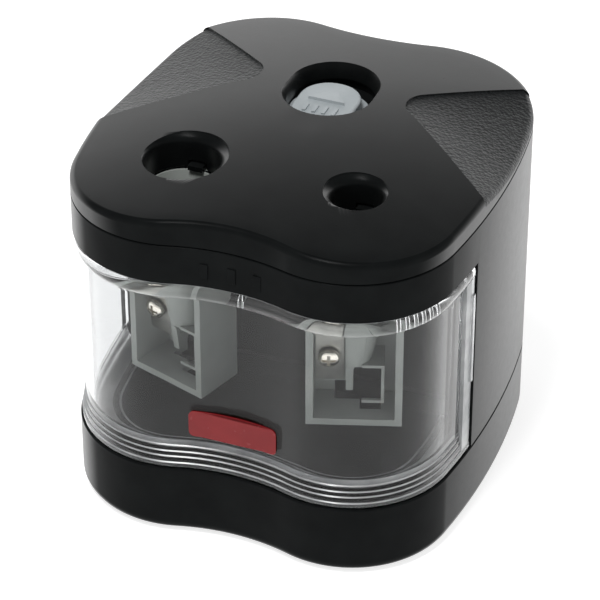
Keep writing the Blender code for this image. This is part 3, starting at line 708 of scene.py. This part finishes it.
def make_drawer():
    """A clear drawer with a stepped foot, a bead at its lip, a filleted floor and an edge strip."""
    rings = [(DRAWER_LOW, 0.6), (DRAWER_LOW + 0.25, 0.3)]
    for foot, inset in ((16.8, 0.3), (18.1, 0.55), (19.2, 0.75), (20.5, 0.95)):
        rings += [(foot, inset), (foot + 0.2, inset + 0.25)]
    rings += [(21.2, DRAWER_INSET), (BEAD_LOW, DRAWER_INSET)]
    for k in range(13):
        turn = math.pi * (k / 12 - 0.5)
        rings.append((BEAD_Z + BEAD_HALF * math.sin(turn), 1.15 - BEAD_OUT * math.cos(turn)))
    rings.append((DRAWER_TOP, DRAWER_INSET))
    back, right = DRAWER_BACK, RIGHT_WALL_INNER - 0.6
    wall, floor, round_r = DRAWER_WALL, DRAWER_FLOOR, 5.0
    inner = [(floor - 0.05, 3.05 + round_r)] + [(floor + rise, 2.6 + run) for run, rise in cove(round_r)]
    cavity = loft([flat(outline(inset), z) for z, inset in inner] + [flat(outline(2.6), 65)])
    cavity = carved(cavity, [("INTERSECT", box((-50, -50, 10), (right - wall, back - wall, 66)), 0)])
    steps = [
        cut(box((-50, back, 10), (50, 50, 65))),
        cut(box((right, RIGHT_WALL_FRONT - GAP, 10), (50, 50, 65))),
        cut(as_bmesh(cavity)),
        cut(box((-37.2, -8, 21.3), (right - wall, 0, 65))),
    ]
    edge_y, strip_front = RIGHT_WALL_FRONT - GAP, -15.8
    for inset, front, z_low, z_high in ((0.45, strip_front, 16.4, 57.6), (0.1, -13.3, 32.0, 52.0)):
        strip = clipped(clipped(outline(inset), 0, right - wall, 1), 1, edge_y, -1)
        steps.append(add(prism(clipped(strip, 1, front, 1), z_low, z_high)))
    lip = -front_y(1.0) + DRAWER_INSET
    steps.append(add(box((-0.6, lip - 0.6, 56.0), (2.4, lip + 2.6, 57.6))))
    steps.append(add(rod(0.6, 54.0, 57.0, (1.2, lip + 2.4), 24)))
    for k in range(6):
        turn = math.radians(-44 + 5.5 * k)
        x, y = LOBE_X + 18.6 * math.cos(turn), -LOBE_Y + 18.6 * math.sin(turn)
        steps.append(add(rod(0.45, 54.9, 57.9, (x, y), 16)))
    mesh = carved(loft([flat(outline(inset), z) for z, inset in rings]), steps)
    # Faces of the foot steps, the line round the floor, the lip edges and the right edge strip get the
    # near-white painted highlight material, standing in for the bright glints along them
    for face in mesh.polygons:
        z, tilt = face.center.z, abs(face.normal.z)
        on_step = 0.3 < tilt < 0.95 and z < 20.9
        on_floor_line = tilt > 0.95 and floor - 0.049 < z < floor - 0.001
        on_lip = tilt > 0.3 and (BEAD_LOW < z < 55.15 or 58.3 < z < 58.6)
        by_edge = strip_front - 0.1 <= face.center.y < edge_y + 0.1
        on_strip = face.center.x > right and by_edge and 21.0 < z < 54.0
        if on_step and z > 15.9 or on_floor_line or on_lip or on_strip:
            face.material_index = 1
        elif 55.0 < z < 58.5 and tilt < 0.98:
            face.material_index = 2
    materials = [M["clear"], M["painted_highlight_edge"], M["clear_bead"]]
    piece("shavings_drawer", mesh, materials, "drawer", ["drawer"], sharp=25)


def cove(radius, steps=6):
    """(run in, rise) pairs of a hollow fillet, from the floor up to the wall."""
    angles = [math.pi / 2 * k / steps for k in range(steps + 1)]
    return [(radius * (1 - math.sin(a)), radius * (1 - math.cos(a))) for a in angles]


def make_label():
    """A plain curved label with rounded corners on the front of the drawer."""
    low, high = node_low("drawer_label"), node_high("drawer_label")
    half, middle, height = high.x, (low.z + high.z) / 2, (high.z - low.z) / 2
    shape = rounded(half, -height, height, 1.2, 1.2, 6)
    dense = []
    for (x, z), (next_x, next_z) in zip(shape, shape[1:] + shape[:1]):
        dense += [(x + (next_x - x) * k / 12, z + (next_z - z) * k / 12) for k in range(12)]

    def ring(radius, inset):
        shrink = 1 - inset / height
        points = [(x * (1 - inset / half), z * shrink) for x, z in dense]
        return [(x, -NOTCH_Y + math.sqrt(radius**2 - x**2), middle + z) for x, z in points]

    film = loft([ring(NOTCH_R + 1.18, 0.0), ring(NOTCH_R + 1.0, 0.0), ring(NOTCH_R + 0.93, 0.12)])
    piece("label_film", film, [M["red"]], "drawer", ["drawer_label"])


# Cutters


def make_cutter(side):
    """Carrier, blade and screw of one pencil hole, about the hole's own axis."""
    x = -HOLE_X if side == "left" else HOLE_X
    bore, body = CUTTER_BORES[side], f"{side}_cutter"
    place = Matrix.Translation((x, HOLE_Y, 0)) @ Matrix.Rotation(math.radians(CUTTER_TURNS[side]), 4, "Z")
    width, front, back, foot, head, wall = 9.2, -6.2, 4.8, 24.4, 57.6, 1.4
    gear_low = 63.6
    tip, tip_z = 1.4, 33.0
    slope = (CUTTER_BORES["left"] - tip) / (head - tip_z)

    def blade_y(z):
        return -tip - slope * (z - tip_z)

    seat = [(blade_y(31) + 0.4, 31), (blade_y(57) + 0.4, 57), (back - 0.5, 57), (back - 0.5, 31)]
    rib = [(blade_y(29.5) - 1.0, 29.5), (blade_y(57) - 0.2, 57), (1.0, 57), (1.0, 29.5)]
    bay = [(blade_y(30.9) + 0.4, 30.9), (blade_y(56.2) + 0.4, 56.2), (-12, 56.2), (-12, 30.9)]
    start = tip_z + (bore - tip) / slope
    steps = [
        cut(box((wall - width, front - 2, foot + wall), (width - wall, back - wall, head - wall))),
        add(side_prism(seat, 0.5 - width, -1.0)),
        add(side_prism(rib, -1.7, -0.3)),
        add(lathe([(tip + slope * 2.5 + 1.3, 35.5), (CUTTER_BORES["left"] + 1.3, 57)], segments=72)),
        add(box((1.4, -3.4, 27.8), (5.7, back - 1.0, 36.6))),
        cut(box((-0.2, -4.0, 28.4), (5.1, back + 1.0, 36.0))),
        cut(box((1.0, -2.7, 20), (5.1, back + 1.0, 30))),
        cut(box((-4.0, 0.5, 20), (1.2, back + 1.1, 30.8))),
        cut(box((-12, -12, 20), (12, front, head - GAP))),
        cut(side_prism(bay, wall - width, -1.75)),
        add(rod(7.2, head - 0.5, gear_low - GAP, segments=72)),
        cut(lathe([(tip, tip_z), (bore, min(start, gear_low)), (bore + 0.02, gear_low + 1)], segments=72)),
    ]
    screw_z, tilt = 38.5, math.atan(slope)
    lay = Matrix.Translation((-4.9, blade_y(screw_z), screw_z)) @ Matrix.Rotation(math.pi / 2 + tilt, 4, "X")
    hole = rod(1.4, -5, 3, segments=32)
    bmesh.ops.transform(hole, matrix=lay, verts=hole.verts)
    steps.append(cut(hole.copy()))
    carrier = carved(box((-width, front, foot), (width, back, head)), steps)
    replaced = [f"{side}_cutter_carrier"]
    piece(f"{side}_carrier", carrier, [M["grey"]], body, replaced, bevel=0.3, matrix=place)

    lead = COVER_BORES[side] - GAP
    section = [(lead + 0.5, gear_low), (lead + 0.5, 66.0), (lead, 66.0)]
    section += [(lead - 0.25, 65.9), (bore - 0.05, gear_low)]
    piece(f"{side}_entry", turned_ring(section), [M["grey"]], body, matrix=place)

    plate = [(blade_y(z) + off, z) for z, off in ((32.0, 0.1), (54.5, 0.1), (54.5, -0.5), (32.0, -0.5))]
    blade = carved(side_prism(plate, wall - width + GAP, -2.0), [cut(hole)])
    replaced = [f"{side}_blade"]
    piece(f"{side}_ground_blade", blade, [M["blade"]], body, replaced, bevel=0.08, matrix=place)

    shank = [(1.1, -3.5), (1.1, 0.8), (2.0, 0.8), (2.1, 0.9), (2.1, 1.45)]
    profile = [*shank, (1.95, 1.75), (1.6, 2.0), (1.0, 2.15), (0.3, 2.2)]
    steps = [cut(box((-1.3, -0.28, 1.3), (1.3, 0.28, 3))), cut(box((-0.28, -1.3, 1.3), (0.28, 1.3, 3)))]
    screw = carved(lathe(profile, segments=48), steps)
    replaced = [f"{side}_blade_screw"]
    piece(f"{side}_screw", screw, [M["nickel"]], body, replaced, bevel=0.05, matrix=place @ lay)


# Springs


def make_spring(name, node, turns, wire, body):
    """A coil of fixed length in the place of a CAD spring."""
    low, high = node_low(node), node_high(node)
    length = high.y - low.y - 2 * wire
    middle, radius = (low + high) / 2, (high.x - low.x) / 2 - wire
    mesh = coil((middle.x, low.y + wire, middle.z), length, radius, turns, wire)
    obj = piece(name, mesh, [M["steel"]], body, [node])
    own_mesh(obj)


# Stage


def make_stage():
    """A plain pale floor, lit a little from within so that it stays near white."""
    bpy.ops.mesh.primitive_plane_add(size=6.0, location=(0, 0, 0))
    floor = bpy.context.object
    floor.name = "floor"
    n = Nodes("pale_floor")
    n.colours(n.noise(60.0, 3), (0.62, 0.62, 0.62), (0.64, 0.64, 0.64))
    n.link(n.spread(n.noise(5.0, 4), 0.75, 0.85), n.shader.inputs["Roughness"])
    n.set(Specular_IOR_Level=0.1, Emission_Color=(1, 1, 1, 1), Emission_Strength=0.75)
    floor.data.materials.append(n.material)


def area_light(name, location, target, size, power):
    light = bpy.data.lights.new(name, "AREA")
    light.shape = "RECTANGLE"
    light.size, light.size_y = size
    light.energy = power
    obj = bpy.data.objects.new(name, light)
    obj.location = location
    obj.rotation_euler = (Vector(target) - Vector(location)).to_track_quat("-Z", "Y").to_euler()
    bpy.context.scene.collection.objects.link(obj)


def make_lights():
    """A surround that is white behind and beside the object and darker overhead, and one soft light."""
    world = bpy.data.worlds.new("studio")
    world.use_nodes = True
    bpy.context.scene.world = world
    tree = world.node_tree
    background = tree.nodes["Background"]
    coordinates = tree.nodes.new("ShaderNodeTexCoord")
    split = tree.nodes.new("ShaderNodeSeparateXYZ")
    tree.links.new(coordinates.outputs["Generated"], split.inputs["Vector"])
    ramps = {}
    for axis, stops in {
        "Z": ((0.0, 0.95), (0.36, 0.95), (0.46, 0.62), (0.56, 0.25), (0.7, 0.13), (1.0, 0.11)),
        "Y": ((0.0, 0.5), (0.3, 0.5), (0.5, 0.8), (0.7, 1.0)),
    }.items():
        shift = tree.nodes.new("ShaderNodeMapRange")
        shift.inputs["From Min"].default_value = 0.0 if axis == "Z" else -1.0
        tree.links.new(split.outputs[axis], shift.inputs["Value"])
        ramp = tree.nodes.new("ShaderNodeValToRGB")
        elements = ramp.color_ramp.elements
        while len(elements) < len(stops):
            elements.new(0.5)
        for element, (position, value) in zip(elements, stops):
            element.position = position
            element.color = (value, value, value, 1)
        tree.links.new(shift.outputs["Result"], ramp.inputs["Fac"])
        ramps[axis] = ramp.outputs["Color"]
    product = tree.nodes.new("ShaderNodeVectorMath")
    product.operation = "MULTIPLY"
    tree.links.new(ramps["Z"], product.inputs[0])
    tree.links.new(ramps["Y"], product.inputs[1])
    tree.links.new(product.outputs["Vector"], background.inputs["Color"])
    background.inputs["Strength"].default_value = 1.6
    area_light("front_light", (-0.05, -0.3, 0.85), (0, 0, 0.04), (0.16, 0.32), 4.8)
    bpy.context.scene.view_settings.view_transform = "Standard"


def make_camera():
    """A long lens from the front right and above, as in a product shot."""
    camera = bpy.data.cameras.new("camera")
    camera.lens = 185.0
    camera.sensor_width = 36.0
    camera.clip_start = 0.01
    obj = bpy.data.objects.new("camera", camera)
    obj.location = (0.1846, -0.4698, 0.3800)
    aim = Vector((0.0009, -0.0052, 0.0362))
    obj.rotation_euler = (aim - obj.location).to_track_quat("-Z", "Y").to_euler()
    bpy.context.scene.collection.objects.link(obj)
    bpy.context.scene.camera = obj


M = make_materials()
dress_cad_nodes()
make_top_cover()
make_slide_button()
make_body_shell()
make_base()
make_door()
make_drawer()
make_label()
make_cutter("left")
make_cutter("right")
make_spring("latch_coil", "latch_spring", 6, 0.22, "cover")
make_spring("feeler_coil", "feeler_spring", 4, 0.18, "housing")
make_stage()
make_lights()
make_camera()
